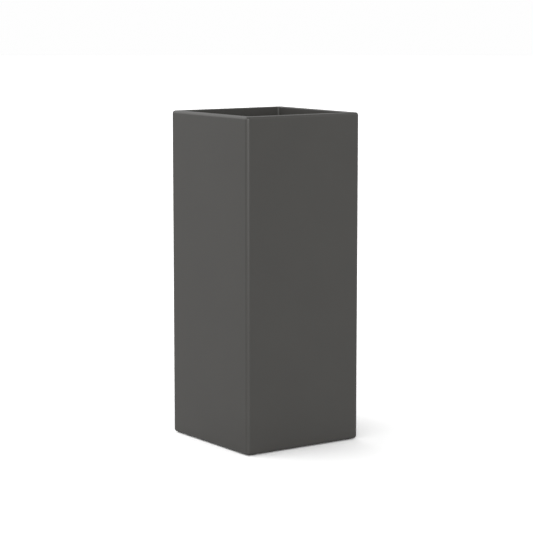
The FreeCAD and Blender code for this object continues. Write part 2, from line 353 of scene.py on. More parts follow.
def add_node(tree: NodeTree, kind: str, inputs: dict[Any, Any] | None = None, **settings: Any) -> Node:
    """Add one node with its settings and links.

    Args:
        tree: The node tree.
        kind: The node's type name.
        inputs: Values or output sockets, by the name or index of the input that they go to.
        settings: The node's own properties.

    Returns:
        The new node.
    """
    node = tree.nodes.new(kind)
    for key, value in settings.items():
        setattr(node, key, value)
    for key, value in (inputs or {}).items():
        if isinstance(value, NodeSocket):
            tree.links.new(value, node.inputs[key])
        else:
            node.inputs[key].default_value = value
    return node


def per_metre(size_mm: float) -> float:
    """A texture scale that gives features of a size in millimetres on coordinates in metres."""
    return 1000.0 / size_mm


WAVE_RADIANS = 20.0  # a wave texture's phase over one unit, so crests are 2 pi of the given size apart


@dataclass(frozen=True)
class Finish:
    """What every finish shares: a name, two colours that its pattern blends, a shine and a relief."""

    name: str
    dark: str
    light: str
    roughness: float
    spread: float = 0.08
    relief_mm: float = 0.05
    relief_strength: float = 0.5
    specular: float = 0.5
    ior: float = 1.5
    metallic: float = 0.0

    def start(self) -> tuple[Material, NodeTree, NodeSocket]:
        """Make an empty material.

        Returns:
            The material, its node tree and the socket of Object coordinates.
        """
        material = bpy.data.materials.new(self.name)
        material.use_nodes = True
        tree = material.node_tree
        tree.nodes.clear()
        return material, tree, add_node(tree, "ShaderNodeTexCoord").outputs["Object"]

    def coat(
        self,
        tree: NodeTree,
        tone: NodeSocket,
        wear: NodeSocket,
        height: NodeSocket,
        under: NodeSocket | None = None,
    ) -> None:
        """Put the finish's patterns on its shader.

        Args:
            tree: The node tree.
            tone: Blends the two colours, from 0 for the dark one to 1 for the light one.
            wear: Varies the roughness about its value, by the spread each way.
            height: Stands up as relief.
            under: A coarser relief that the fine one lies on.
        """
        colour = add_node(
            tree, "ShaderNodeMix", {0: tone, 6: linear(self.dark), 7: linear(self.light)}, data_type="RGBA"
        )
        limits = {"To Min": self.roughness - self.spread, "To Max": self.roughness + self.spread}
        shine = add_node(tree, "ShaderNodeMapRange", {"Value": wear, **limits})
        relief = {"Height": height, "Distance": self.relief_mm * MM, "Strength": self.relief_strength}
        if under is not None:
            relief["Normal"] = under
        inputs = {
            "Base Color": colour.outputs[2],
            "Metallic": self.metallic,
            "Roughness": shine.outputs["Result"],
            "IOR": self.ior,
            "Specular IOR Level": self.specular,
            "Normal": add_node(tree, "ShaderNodeBump", relief).outputs[0],
        }
        shader = add_node(tree, "ShaderNodeBsdfPrincipled", inputs)
        add_node(tree, "ShaderNodeOutputMaterial", {"Surface": shader.outputs["BSDF"]})


@dataclass(frozen=True)
class MatteGelcoat(Finish):
    """Pigmented polyester gelcoat, laid in the mould and rubbed matte.

    It gives the eye an even charcoal with a faint cloudiness where the pigment settled, a very fine
    orange peel from the mould, and a wide soft sheen along the rounded edges.
    """

    spread: float = 0.04
    relief_mm: float = 0.006
    relief_strength: float = 0.6
    cloud_mm: float = 140.0
    speck_mm: float = 3.0
    speck_share: float = 0.25
    peel_mm: float = 1.6

    def material(self) -> Material:
        """Build the material."""
        material, tree, where = self.start()
        cloud, speck, peel = (
            add_node(
                tree, "ShaderNodeTexNoise", {"Vector": where, "Scale": per_metre(size), "Detail": detail}
            ).outputs[0]
            for size, detail in ((self.cloud_mm, 4.0), (self.speck_mm, 2.0), (self.peel_mm, 1.0))
        )
        tone = add_node(
            tree, "ShaderNodeMix", {0: self.speck_share, 2: cloud, 3: speck}, data_type="FLOAT"
        )
        self.coat(tree, tone.outputs[0], cloud, peel)
        return material


@dataclass(frozen=True)
class HandLaidLaminate(Finish):
    """Chopped strand mat in pigmented polyester resin, rolled down by hand and left as it set.

    It gives the eye crossing strands under a dark resin skin, low lumps from the roller, and a
    shine that breaks up over the strands.
    """

    spread: float = 0.1
    relief_mm: float = 0.28
    relief_strength: float = 0.7
    strand_length_mm: float = 42.0
    strand_width_mm: float = 1.5
    strand_turns: tuple[float, ...] = (45, 135, -45, -135)
    strand_shift: tuple[float, float, float] = (0.013, 0.007, 0.003)
    lump_mm: float = 26.0
    lump_depth_mm: float = 0.9
    lump_strength: float = 0.8

    def material(self) -> Material:
        """Build the material."""
        material, tree, where = self.start()
        strands = None
        tilt = math.atan(1 / math.sqrt(2))  # along a cube's diagonals, so that every face shows strands
        width = self.strand_width_mm * MM
        for turn in self.strand_turns:
            mapping = add_node(
                tree,
                "ShaderNodeMapping",
                {
                    "Vector": where,
                    "Location": [step * turn for step in self.strand_shift],
                    "Rotation": (0.0, -tilt, math.radians(turn)),
                    "Scale": (self.strand_length_mm * MM, width, width),
                },
                vector_type="TEXTURE",
            )
            streak = add_node(
                tree,
                "ShaderNodeTexNoise",
                {"Vector": mapping.outputs[0], "Scale": 1.0, "Detail": 1.0, "Distortion": 0.5},
            )
            strand = add_node(
                tree, "ShaderNodeMapRange", {"Value": streak.outputs[0], "From Min": 0.54, "From Max": 0.68}
            ).outputs["Result"]
            if strands is not None:
                both = add_node(tree, "ShaderNodeMath", {0: strands, 1: strand}, operation="MAXIMUM")
                strand = both.outputs[0]
            strands = strand
        lumps = add_node(
            tree, "ShaderNodeTexNoise", {"Vector": where, "Scale": per_metre(self.lump_mm), "Detail": 3.0}
        ).outputs[0]
        rolled = {"Height": lumps, "Distance": self.lump_depth_mm * MM, "Strength": self.lump_strength}
        low = add_node(tree, "ShaderNodeBump", rolled)
        self.coat(tree, strands, lumps, strands, low.outputs[0])
        return material


@dataclass(frozen=True)
class FilledResin(Finish):
    """Polyester resin thickened with filler, pressed into a corner and drawn off with a rounded tool.

    It gives the eye a satin fillet with shallow drag marks and a few pinholes, which are sunk in the relief
    and also painted darker in the colour as painted shade.
    """

    relief_mm: float = 0.3
    relief_strength: float = 0.6
    drag_mm: float = 9.0
    pinhole_mm: float = 5.0

    def material(self) -> Material:
        """Build the material."""
        material, tree, where = self.start()
        drag = add_node(
            tree,
            "ShaderNodeTexNoise",
            {"Vector": where, "Scale": per_metre(self.drag_mm), "Detail": 5.0, "Distortion": 0.8},
        ).outputs[0]
        pores = add_node(
            tree, "ShaderNodeTexVoronoi", {"Vector": where, "Scale": per_metre(self.pinhole_mm)}
        ).outputs["Distance"]
        # the pinholes' mask sinks each pinhole in the relief and also darkens its colour, as painted shade
        # inside the pit
        pinholes_with_painted_shade = add_node(
            tree, "ShaderNodeMapRange", {"Value": pores, "From Min": 0.05, "From Max": 0.14}
        ).outputs["Result"]
        # the tone goes to both colour and relief: the drag marks vary at random, and the pinholes get
        # painted shade
        tone = add_node(tree, "ShaderNodeMath", {0: drag, 1: pinholes_with_painted_shade}, operation="MULTIPLY").outputs[0]
        self.coat(tree, tone, drag, tone)
        return material


@dataclass(frozen=True)
class SawnSoftwood(Finish):
    """Plain sawn softwood strip, sealed with a coat of resin.

    It gives the eye pale early wood with darker late wood lines that run along the strip, and the
    cross marks of the saw.
    """

    spread: float = 0.06
    relief_mm: float = 0.12
    grain: Grain = Grain.ALONG_X
    ring_mm: float = 3.4
    saw_mm: float = 1.8
    stretch: float = 0.08
    heart: tuple[float, float, float] = (0.0, 0.055, 0.21)

    def material(self) -> Material:
        """Build the material."""
        material, tree, where = self.start()
        along = add_node(
            tree, "ShaderNodeMapping", {"Vector": where, "Rotation": self.grain.value}, vector_type="TEXTURE"
        ).outputs[0]
        drawn = add_node(
            tree,
            "ShaderNodeMapping",
            {"Vector": along, "Location": self.heart, "Scale": (self.stretch, 1.0, 1.0)},
        )
        wavy = {"Distortion": 3.0, "Detail": 3.0, "Detail Scale": 1.2}
        rings = add_node(
            tree,
            "ShaderNodeTexWave",
            {"Vector": drawn.outputs[0], "Scale": per_metre(self.ring_mm) / WAVE_RADIANS, **wavy},
            wave_type="RINGS",
            rings_direction="X",
        ).outputs["Fac"]
        saw = add_node(
            tree,
            "ShaderNodeTexWave",
            {"Vector": along, "Scale": per_metre(self.saw_mm) / WAVE_RADIANS, "Distortion": 2.0},
            bands_direction="X",
        ).outputs["Fac"]
        height = add_node(tree, "ShaderNodeMath", {0: rings, 1: saw}, operation="ADD")
        self.coat(tree, rings, rings, height.outputs[0])
        return material


@dataclass(frozen=True)
class MouldedPlastic(Finish):
    """Injection moulded black plastic with a spark-eroded grain from the tool.

    It gives the eye a dry satin black whose fine pebble grain breaks up each highlight. The real
    grain is about 0.3 mm, and it is drawn coarser so that it shows.
    """

    grain_mm: float = 0.9
    scuff_mm: float = 60.0
    scuff_share: float = 0.5

    def material(self) -> Material:
        """Build the material."""
        material, tree, where = self.start()
        pebble = add_node(
            tree,
            "ShaderNodeTexVoronoi",
            {"Vector": where, "Scale": per_metre(self.grain_mm)},
            feature="SMOOTH_F1",
        ).outputs["Distance"]
        scuff = add_node(
            tree,
            "ShaderNodeTexNoise",
            {"Vector": where, "Scale": per_metre(self.scuff_mm), "Detail": 6.0, "Distortion": 1.0},
        ).outputs[0]
        tone = add_node(
            tree, "ShaderNodeMix", {0: self.scuff_share, 2: pebble, 3: scuff}, data_type="FLOAT"
        )
        self.coat(tree, tone.outputs[0], scuff, pebble)
        return material


@dataclass(frozen=True)
class MouldedRubber(Finish):
    """Compression moulded black rubber with a light bloom of moulding talc.

    It gives the eye a soft dull black, greyer in patches where the bloom and dust sit.
    """

    spread: float = 0.06
    relief_mm: float = 0.03
    bloom_mm: float = 11.0
    pore_mm: float = 0.7

    def material(self) -> Material:
        """Build the material."""
        material, tree, where = self.start()
        bloom = add_node(
            tree,
            "ShaderNodeTexNoise",
            {"Vector": where, "Scale": per_metre(self.bloom_mm), "Detail": 6.0, "Roughness": 0.6},
        ).outputs[0]
        patches = add_node(
            tree, "ShaderNodeMapRange", {"Value": bloom, "From Min": 0.42, "From Max": 0.72}
        ).outputs["Result"]
        pores = add_node(
            tree, "ShaderNodeTexNoise", {"Vector": where, "Scale": per_metre(self.pore_mm), "Detail": 2.0}
        )
        self.coat(tree, patches, bloom, pores.outputs[0])
        return material


@dataclass(frozen=True)
class StainlessSteel(Finish):
    """Cold formed stainless steel, tumbled clean.

    It gives the eye a bright grey metal with short fine scratches in every direction.
    """

    spread: float = 0.09
    relief_mm: float = 0.01
    relief_strength: float = 0.4
    scratch_mm: float = 0.5
    stretch: tuple[float, float, float] = (1.0, 0.15, 1.0)

    def material(self) -> Material:
        """Build the material."""
        material, tree, where = self.start()
        stretched = add_node(tree, "ShaderNodeMapping", {"Vector": where, "Scale": self.stretch})
        marks = {"Scale": per_metre(self.scratch_mm), "Detail": 4.0, "Distortion": 1.5}
        scratch = add_node(tree, "ShaderNodeTexNoise", {"Vector": stretched.outputs[0], **marks}).outputs[0]
        self.coat(tree, scratch, scratch, scratch)
        return material


GELCOAT = MatteGelcoat("matte_gelcoat", "#484745", "#4d4c49", roughness=0.32)
LAMINATE = HandLaidLaminate("hand_laid_laminate", "#343331", "#4b4a46", roughness=0.42)
RESIN = FilledResin("filled_resin", "#3f3e3b", "#55534f", roughness=0.38)
WOOD_X = SawnSoftwood("sawn_softwood_x", "#8c6236", "#c49a63", roughness=0.55, grain=Grain.ALONG_X)
WOOD_Y = SawnSoftwood("sawn_softwood_y", "#8c6236", "#c49a63", roughness=0.55, grain=Grain.ALONG_Y)
SHELF_PLASTIC = MouldedPlastic("grained_shelf_plastic", "#191919", "#2b2b2a", roughness=0.5)
DRAIN_PLASTIC = MouldedPlastic(
    "satin_drain_plastic", "#1b1b1c", "#2a2a2b", roughness=0.4, relief_mm=0.02
)
RUBBER = MouldedRubber("moulded_rubber", "#151515", "#2f2e2d", roughness=0.72, specular=0.35)
STEEL = StainlessSteel("stainless_steel", "#a9a7a2", "#cfccc6", roughness=0.3, metallic=1.0)


class FinishRack:
    """Keeps one material for each finish, built when it is first asked for."""

    def __init__(self) -> None:
        """Start with no materials."""
        self.ready: dict[str, Material] = {}

    def get(self, finish: Finish) -> Material:
        """Return the finish's material."""
        if finish.name not in self.ready:
            self.ready[finish.name] = finish.material()
        return self.ready[finish.name]


rack = FinishRack()


def show_piece(
    bm: BMesh,
    name: str,
    body: Body,
    finishes: Sequence[Finish],
    nodes: Sequence[str] = (),
    weighted: bool = True,
) -> bpy.types.Object:
    """Turn a finished mesh into a piece of the object.

    Args:
        bm: The mesh, which is used up.
        name: The piece's name.
        body: The body that it moves with.
        finishes: The finishes, in the order of the faces' material indices.
        nodes: The CAD nodes that the piece stands for.
        weighted: Whether large faces set the shading of the roundings beside them.

    Returns:
        The piece's object.
    """
    gaps, volume = open_edges(bm), bm.calc_volume(signed=True)
    for face in bm.faces:
        face.smooth = True
    for edge in bm.edges:
        edge.smooth = edge_angle(edge) < SHARP_ANGLE
    mesh = bpy.data.meshes.new(name)
    bm.to_mesh(mesh)
    bm.free()
    piece = bpy.data.objects.new(name, mesh)
    bpy.context.scene.collection.objects.link(piece)
    for finish in finishes:
        mesh.materials.append(rack.get(finish))
    if weighted:
        modifier = piece.modifiers.new("even shading", "WEIGHTED_NORMAL")
        modifier.keep_sharp = True
    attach(piece, body.value)
    if nodes:
        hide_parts(*nodes)
    log.info("%s: %d faces, %d open edges, %.2f cm3", name, len(mesh.polygons), gaps, volume * 1e6)
    return piece


def dress_node(node: str, finish: Finish) -> None:
    """Give a CAD node, whose mesh stays as it is, a finish."""
    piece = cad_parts[node]
    piece.data.materials.clear()
    piece.data.materials.append(rack.get(finish))
    log.info("%s: CAD solid in %s", node, finish.name)


# --- the planter's sub-assemblies ---------------------------------------------------------------


@dataclass
class Shell:
    """The one-piece moulded shell: walls, returned rim and the bottom with its raised middle."""

    width: float = 312.0 * MM
    top: float = 762.0 * MM
    bottom: float = 2.0 * MM
    wall: float = 4.0 * MM
    corner: float = 9.0 * MM
    rim_width: float = 18.0 * MM
    rim_edge: float = 6.5 * MM
    mouth_edge: float = 2.0 * MM
    mouth_corner: float = 6.0 * MM
    lip_depth: float = 32.0 * MM
    lip_wall: float = 4.0 * MM
    base_edge: float = 7.0 * MM
    ring_width: float = 40.0 * MM
    ring_laminate: float = 8.0 * MM
    recess_depth: float = 16.0 * MM
    recess_laminate: float = 6.0 * MM
    recess_corner: float = 16.0 * MM
    drain_hole: float = 15.5 * MM
    pocket_radius: float = 14.3 * MM
    pocket_depth: float = 4.0 * MM
    screw_hole: float = 2.7 * MM
    foot_inset: float = 24.0 * MM
    recess_foot_edge: float = 2.0 * MM
    recess_top_edge: float = 3.0 * MM
    lip_edge: float = 0.8 * MM
    hollow_edge: float = 2.5 * MM
    corner_steps: int = 14
    pocket_steps: int = 48
    corner_depth: float = 8.0 * MM
    slack: float = 0.5 * MM

    def outlines(self, bm: BMesh) -> list:
        """Lay out the shell's section as outlines, from the drain hole's underside round to its top.

        Args:
            bm: The mesh that gets the outlines.

        Returns:
            The outlines' edges, in order.
        """
        outer = self.width / 2
        mouth = outer - self.rim_width
        lip = mouth + self.lip_wall
        inner = outer - self.wall
        recess = outer - self.ring_width
        raised = recess + self.recess_laminate
        inner_corner = self.corner - self.wall
        ceiling = self.bottom + self.recess_depth
        trough = self.bottom + self.ring_laminate
        level = ceiling + self.recess_laminate
        lip_foot = self.top - self.lip_depth
        rows = [
            (recess, ceiling, self.recess_corner),
            (recess, self.bottom, self.recess_corner),
            (outer, self.bottom, self.corner),
            (outer, self.top, self.corner),
            (mouth, self.top, self.mouth_corner),
            (mouth, lip_foot, self.mouth_corner),
            (lip, lip_foot, self.mouth_corner + self.lip_wall),
            (lip, self.top - self.wall, self.mouth_corner + self.lip_wall),
            (inner, self.top - self.wall, inner_corner),
            (inner, trough, inner_corner),
            (raised, trough, self.recess_corner + self.recess_laminate),
            (raised, level, self.recess_corner + self.recess_laminate),
        ]
        loops = [rounded_square(bm, half, z, radius, self.corner_steps) for half, z, radius in rows]
        count = len(loops[0])
        hole_low = round_outline(bm, self.drain_hole, ceiling, count)
        hole_high = round_outline(bm, self.drain_hole, level, count)
        return [hole_low, *loops, hole_high]

    def build(self) -> BMesh:
        """Model the shell.

        Returns:
            The closed mesh, with material 0 on the moulded side and 1 on the laid-up side.
        """
        bm = bmesh.new()
        skin(bm, self.outlines(bm), closed=True)
        tidy(bm)
        outer = self.width / 2
        mouth = outer - self.rim_width
        recess = outer - self.ring_width
        lip_foot = self.top - self.lip_depth
        for half, z, radius, facets in (
            (outer, self.top, self.rim_edge, 10),
            (outer, self.bottom, self.base_edge, 10),
            (mouth, self.top, self.mouth_edge, 8),
            (recess, self.bottom, self.recess_foot_edge, 5),
            (recess, self.bottom + self.recess_depth, self.recess_top_edge, 5),
            (mouth, lip_foot, self.lip_edge, 3),
            (mouth + self.lip_wall, lip_foot, self.lip_edge, 3),
            (outer - self.wall, self.top - self.wall, self.hollow_edge, 4),
        ):
            self.round_level_edges(bm, half, z, radius, facets)
        bm = cut_away(bm, self.foot_cutters())
        tidy(bm)
        self.mark_sides(bm)
        return bm

    def round_level_edges(self, bm: BMesh, half: float, z: float, radius: float, segments: int) -> None:
        """Round the edges of one outline.

        Args:
            bm: The mesh.
            half: Half the outline's width across the flats.
            z: Its height.
            radius: Radius of the rounding.
            segments: Facets across the rounding.
        """
        nearest, farthest = half - self.corner_depth, half + NEAR
        chosen = [
            edge
            for edge in bm.edges
            if all(abs(v.co.z - z) < NEAR and nearest < reach(v.co) < farthest for v in edge.verts)
            and edge_angle(edge) > CREASE_ANGLE
        ]
        soften(bm, chosen, radius, segments)

    def foot_cutters(self) -> BMesh:
        """Model the four stepped cutters for the foot pockets and their screw holes."""
        overshoot = 1.0 * MM
        low = self.bottom - overshoot
        shelf = self.bottom + self.pocket_depth
        high = self.bottom + self.ring_laminate + overshoot
        centre = self.width / 2 - self.foot_inset
        cutters = bmesh.new()
        outline = [(0.0, low), (self.pocket_radius, low), (self.pocket_radius, shelf)]
        outline += [(self.screw_hole, shelf), (self.screw_hole, high), (0.0, high)]
        for side_x in (-1, 1):
            for side_y in (-1, 1):
                join(cutters, spun(outline, self.pocket_steps, (side_x * centre, side_y * centre)))
        return cutters

    def mark_sides(self, bm: BMesh) -> None:
        """Set each face's material: 0 on the mould side, 1 on the side that was laid up by hand."""
        outer = self.width / 2
        inside = outer - self.wall + self.slack
        recess_top = self.bottom + self.recess_depth + self.slack
        trough = self.bottom + self.ring_laminate - self.slack
        lip_foot = self.top - self.lip_depth - self.slack
        for face in bm.faces:
            middle = face.calc_center_median()
            out = reach(middle)
            in_trough = out > outer - self.ring_width and middle.z > trough
            on_lip = middle.z > lip_foot and out < outer - self.rim_width + 2 * self.slack
            on_rim = middle.z > self.top - 2 * self.slack
            hidden = out < inside and (middle.z > recess_top or in_trough)
            face.material_index = int(hidden and not on_lip and not on_rim)

    def make(self) -> None:
        """Build the shell and show it in place of its CAD solid."""
        show_piece(
            self.build(), "shell_moulding", Body.PLANTER, (GELCOAT, LAMINATE), ("outer_shell",)
        )


@dataclass
class CoreStrips:
    """The wood strips in the rim's hollow and in the bottom's trough, kept as their CAD solids."""

    groups: tuple[str, ...] = ("rim_core", "base_core")

    def make(self) -> None:
        """Dress every strip, with its grain along its length."""
        for group in self.groups:
            for side, finish in (("front", WOOD_X), ("back", WOOD_X), ("left", WOOD_Y), ("right", WOOD_Y)):
                dress_node(f"{group}_{side}", finish)


@dataclass
class InsideFloor:
    """The laid-in floor panel and the resin bead that seals it to the walls."""

    bead_leg: float = 11.0 * MM
    toe: float = 0.8 * MM
    hollow: float = 1.4 * MM
    inner_corner: float = 12.0 * MM
    wall_corner: float = 5.0 * MM
    wall_gap: float = 0.05 * MM
    face_steps: int = 7
    wander: float = 0.9 * MM
    long_wave: float = 38.0 * MM
    short_wave: float = 11.0 * MM
    side_cuts: int = 72
    corner_steps: int = 10

    def bead(self) -> BMesh:
        """Model the bead: a hollow fillet whose two edges wander as a hand-drawn one does.

        Returns:
            The closed ring.
        """
        low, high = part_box("floor_bead")
        half = high.x - self.wall_gap
        floor = low.z
        bm = bmesh.new()
        rows = [(half, floor, self.wall_corner)]
        start = Vector((half - self.bead_leg, floor + self.toe))
        end = Vector((half - self.toe, floor + self.bead_leg))
        rows.append((start.x, floor, self.inner_corner))
        normal = Vector((1.0, -1.0)).normalized()
        for step in range(self.face_steps + 1):
            share = step / self.face_steps
            point = start.lerp(end, share) + normal * self.hollow * math.sin(math.pi * share)
            rows.append(
                (point.x, point.y, self.inner_corner + (self.wall_corner - self.inner_corner) * share)
            )
        rows.append((half, floor + self.bead_leg, self.wall_corner))
        skin(bm, [rounded_square(bm, h, z, r, self.corner_steps) for h, z, r in rows], closed=True)
        tidy(bm)
        long_edges = [edge for edge in bm.edges if edge.calc_length() > 100.0 * MM]
        bmesh.ops.subdivide_edges(bm, edges=long_edges, cuts=self.side_cuts, use_grid_fill=True)
        for vert in bm.verts:
            out = reach(vert.co)
            into_wall = out > half - 0.2 * MM
            if into_wall and vert.co.z < floor + self.bead_leg - 0.2 * MM:
                continue
            push = ripple(vert.co, self.long_wave, 1.0) + 0.4 * ripple(vert.co, self.short_wave, 2.0)
            if vert.co.z > floor + 0.2 * MM:
                vert.co.z += push * self.wander * (0.25 if into_wall else 0.7) - 0.35 * self.wander
                vert.co.z = max(vert.co.z, floor + 0.3 * MM)
            if not into_wall:
                shift = 1.0 + (push * self.wander - 0.2 * self.wander) / out
                vert.co.x *= shift
                vert.co.y *= shift
        tidy(bm)
        return bm

    def make(self) -> None:
        """Dress the panel and show the bead."""
        dress_node("floor_panel", LAMINATE)
        show_piece(
            self.bead(), "tooled_bead", Body.PLANTER, (RESIN,), ("floor_bead",), weighted=False
        )


@dataclass
class Drain:
    """The drain fitting: threaded sleeve, gasket, locknut, and the rubber plug on its own body."""

    barrel: float = 15.0 * MM
    flange_edge: float = 1.0 * MM
    thread_pitch: float = 2.0 * MM
    thread_depth: float = 0.9 * MM
    bore_top: float = 12.0 * MM
    bore_foot: float = 10.5 * MM
    nut_flats: float = 42.0 * MM
    nut_bore: float = 15.1 * MM
    plug_clearance: float = 0.1 * MM
    cap_height: float = 4.0 * MM
    cap_radius: float = 17.0 * MM
    tab_width: float = 18.0 * MM
    tab_thickness: float = 5.0 * MM
    tab_corner: float = 6.0 * MM
    ridge_radius: float = 0.8 * MM
    ridges: int = 3
    rubber_cell: float = 0.42 * MM
    smoothing_passes: int = 3
    fine_steps: int = 96
    gasket_steps: int = 72
    nut_steps: int = 144

    def sleeve(self) -> BMesh:
        """Turn the flanged sleeve and wind its thread round the barrel."""
        low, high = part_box("drain_bush")
        flange_radius = high.x
        flange_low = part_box("drain_gasket")[1].z
        top = high.z
        edge = self.flange_edge
        root = self.barrel - self.thread_depth
        profile = [
            (self.bore_foot, low.z + 0.4 * MM),
            (self.bore_foot + 0.4 * MM, low.z),
            (root - 0.3 * MM, low.z),
            (root, low.z + 0.5 * MM),
            (root, flange_low - 2.0 * MM),
            (self.barrel, flange_low - 1.6 * MM),
            (self.barrel, flange_low),
            (flange_radius - 0.3 * MM, flange_low),
            (flange_radius, flange_low + 0.3 * MM),
            (flange_radius, top - edge),
            (flange_radius - 0.3 * edge, top - 0.3 * edge),
            (flange_radius - edge, top),
            (self.cap_radius + 1.2 * MM, top),
            (self.cap_radius + 0.8 * MM, top - 0.4 * MM),
            (self.cap_radius + 0.4 * MM, top - 0.4 * MM),
            (self.cap_radius, top),
            (self.bore_top + 0.5 * MM, top),
            (self.bore_top, top - 0.6 * MM),
        ]
        bm = spun(profile, self.fine_steps)
        start, end = low.z + 0.3 * MM, flange_low - 2.4 * MM
        join(bm, helix_thread(self.barrel, self.thread_depth, self.thread_pitch, start, end, 64))
        return bm

    def gasket(self) -> BMesh:
        """Turn the gasket, whose outside edge bulges a little under the flange."""
        low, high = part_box("drain_gasket")
        inner = self.barrel + 0.2 * MM
        outer = high.x
        middle = (low.z + high.z) / 2
        profile = [
            (inner, low.z),
            (outer - 0.5 * MM, low.z),
            (outer - 0.1 * MM, low.z + 0.35 * MM),
            (outer, middle),
            (outer - 0.1 * MM, high.z - 0.35 * MM),
            (outer - 0.5 * MM, high.z),
            (inner, high.z),
        ]
        return spun(profile, self.gasket_steps)

    def locknut(self) -> BMesh:
        """Turn a chamfered ring and slice its six flats, so that the chamfer curves across each flat."""
        low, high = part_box("drain_locknut")
        flat = self.nut_flats / 2
        corner = flat / math.cos(math.pi / 6)
        profile = [
            (self.nut_bore, low.z + 0.6 * MM),
            (self.nut_bore + 0.6 * MM, low.z),
            (flat - 0.4 * MM, low.z),
            (corner, low.z + (corner - flat) * 0.58),
            (corner, high.z),
            (self.nut_bore, high.z),
        ]
        bm = spun(profile, self.nut_steps)
        for step in range(6):
            turn = math.radians(60 * step + 30)
            outwards = Vector((math.cos(turn), math.sin(turn), 0.0))
            result = bmesh.ops.bisect_plane(
                bm,
                geom=bm.verts[:] + bm.edges[:] + bm.faces[:],
                plane_co=outwards * flat,
                plane_no=outwards,
                clear_outer=True,
            )
            edges = [item for item in result["geom_cut"] if isinstance(item, BMEdge)]
            bmesh.ops.holes_fill(bm, edges=edges, sides=0)
        tidy(bm)
        uprights = [
            edge
            for edge in bm.edges
            if abs(edge.verts[0].co.z - edge.verts[1].co.z) > 2.0 * MM
            and edge_angle(edge) > math.radians(30)
            and edge.verts[0].co.xy.length > flat
        ]
        soften(bm, uprights, 0.5 * MM, 3)
        return bm

    def plug(self) -> BMesh:
        """Model the plug as one rubber moulding with soft joins between its cone, cap, tab and ridges.

        Returns:
            The closed mesh.
        """
        low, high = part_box("drain_plug")
        bush_low, bush_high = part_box("drain_bush")
        seat = bush_high.z
        cap_top = seat + self.cap_height
        slope = (self.bore_top - self.bore_foot) / (seat - bush_low.z)
        foot_radius = self.bore_foot + slope * (low.z - bush_low.z) - self.plug_clearance
        profile = [
            (0.0, low.z),
            (foot_radius - 0.9 * MM, low.z),
            (foot_radius, low.z + 0.9 * MM),
            (self.bore_top - 0.7 * MM - self.plug_clearance, seat - 1.2 * MM),
            (self.bore_top - 0.7 * MM, seat),
            (self.cap_radius - 0.6 * MM, seat),
            (self.cap_radius, seat + 0.6 * MM),
            (self.cap_radius, cap_top - 1.2 * MM),
            (self.cap_radius - 1.2 * MM, cap_top),
            (self.cap_radius - 3.2 * MM, cap_top),
            (self.cap_radius - 4.0 * MM, cap_top - 0.7 * MM),
            (0.0, cap_top - 0.7 * MM),
        ]
        bm = spun(profile, self.fine_steps)
        tab_low = cap_top - 2.5 * MM
        tab_height = high.z - tab_low
        size = Matrix.Diagonal((self.tab_width, self.tab_thickness, tab_height, 1.0))
        tab = bmesh.new()
        bmesh.ops.create_cube(
            tab, size=1.0, matrix=Matrix.Translation((0, 0, tab_low + tab_height / 2)) @ size
        )
        near = 0.1 * MM
        shoulders = [
            edge
            for edge in tab.edges
            if all(vert.co.z > high.z - near for vert in edge.verts)
            and abs(edge.verts[0].co.x - edge.verts[1].co.x) < near
        ]
        soften(tab, shoulders, self.tab_corner, 10)
        soften(tab, [edge for edge in tab.edges if edge_angle(edge) > CREASE_ANGLE], 0.9 * MM, 3)
        join(bm, tab)
        root = bmesh.new()
        width = Matrix.Diagonal((self.tab_width + 1.6 * MM, self.tab_thickness + 2.4 * MM, 3.0 * MM, 1.0))
        bmesh.ops.create_cube(root, size=1.0, matrix=Matrix.Translation((0, 0, cap_top - 1.4 * MM)) @ width)
        soften(root, root.edges, 0.8 * MM, 2)
        join(bm, root)
        self.add_ridges(bm, cap_top, high.z)
        moulded = worked(bm, "REMESH", mode="VOXEL", voxel_size=self.rubber_cell, use_smooth_shade=True)
        every_axis = {"use_axis_x": True, "use_axis_y": True, "use_axis_z": True}
        for _ in range(self.smoothing_passes):
            bmesh.ops.smooth_vert(moulded, verts=moulded.verts[:], factor=0.5, **every_axis)
        return moulded

    def add_ridges(self, bm: BMesh, cap_top: float, tab_top: float) -> None:
        """Add the grip ridges to both faces of the tab.

        Args:
            bm: The plug's mesh.
            cap_top: Height of the cap.
            tab_top: Height of the tab's end.
        """
        pitch = (tab_top - cap_top) / (self.ridges + 1)
        length = self.tab_width - 2 * self.tab_corner
        for step in range(self.ridges):
            for face in (-1, 1):
                ridge = bmesh.new()
                place = Matrix.Translation((0, face * self.tab_thickness / 2, cap_top + pitch * (step + 1)))
                bmesh.ops.create_cone(
                    ridge,
                    cap_ends=True,
                    segments=16,
                    radius1=self.ridge_radius,
                    radius2=self.ridge_radius,
                    depth=length + 2.0 * MM,
                    matrix=place @ Matrix.Rotation(math.pi / 2, 4, "Y"),
                )
                join(bm, ridge)

    def make(self) -> None:
        """Show the four pieces."""
        for bm, name, slot, finish, node in (
            (self.sleeve(), "threaded_sleeve", Slot.DRAIN, DRAIN_PLASTIC, "drain_bush"),
            (self.gasket(), "sleeve_gasket", Slot.RUBBER, RUBBER, "drain_gasket"),
            (self.locknut(), "sleeve_locknut", Slot.DRAIN, DRAIN_PLASTIC, "drain_locknut"),
        ):
            show_piece(bm, name, Body.PLANTER, (finish,), (node,))
        show_piece(
            self.plug(), "rubber_plug", Body.PLUG, (RUBBER,), ("drain_plug",), weighted=False
        )


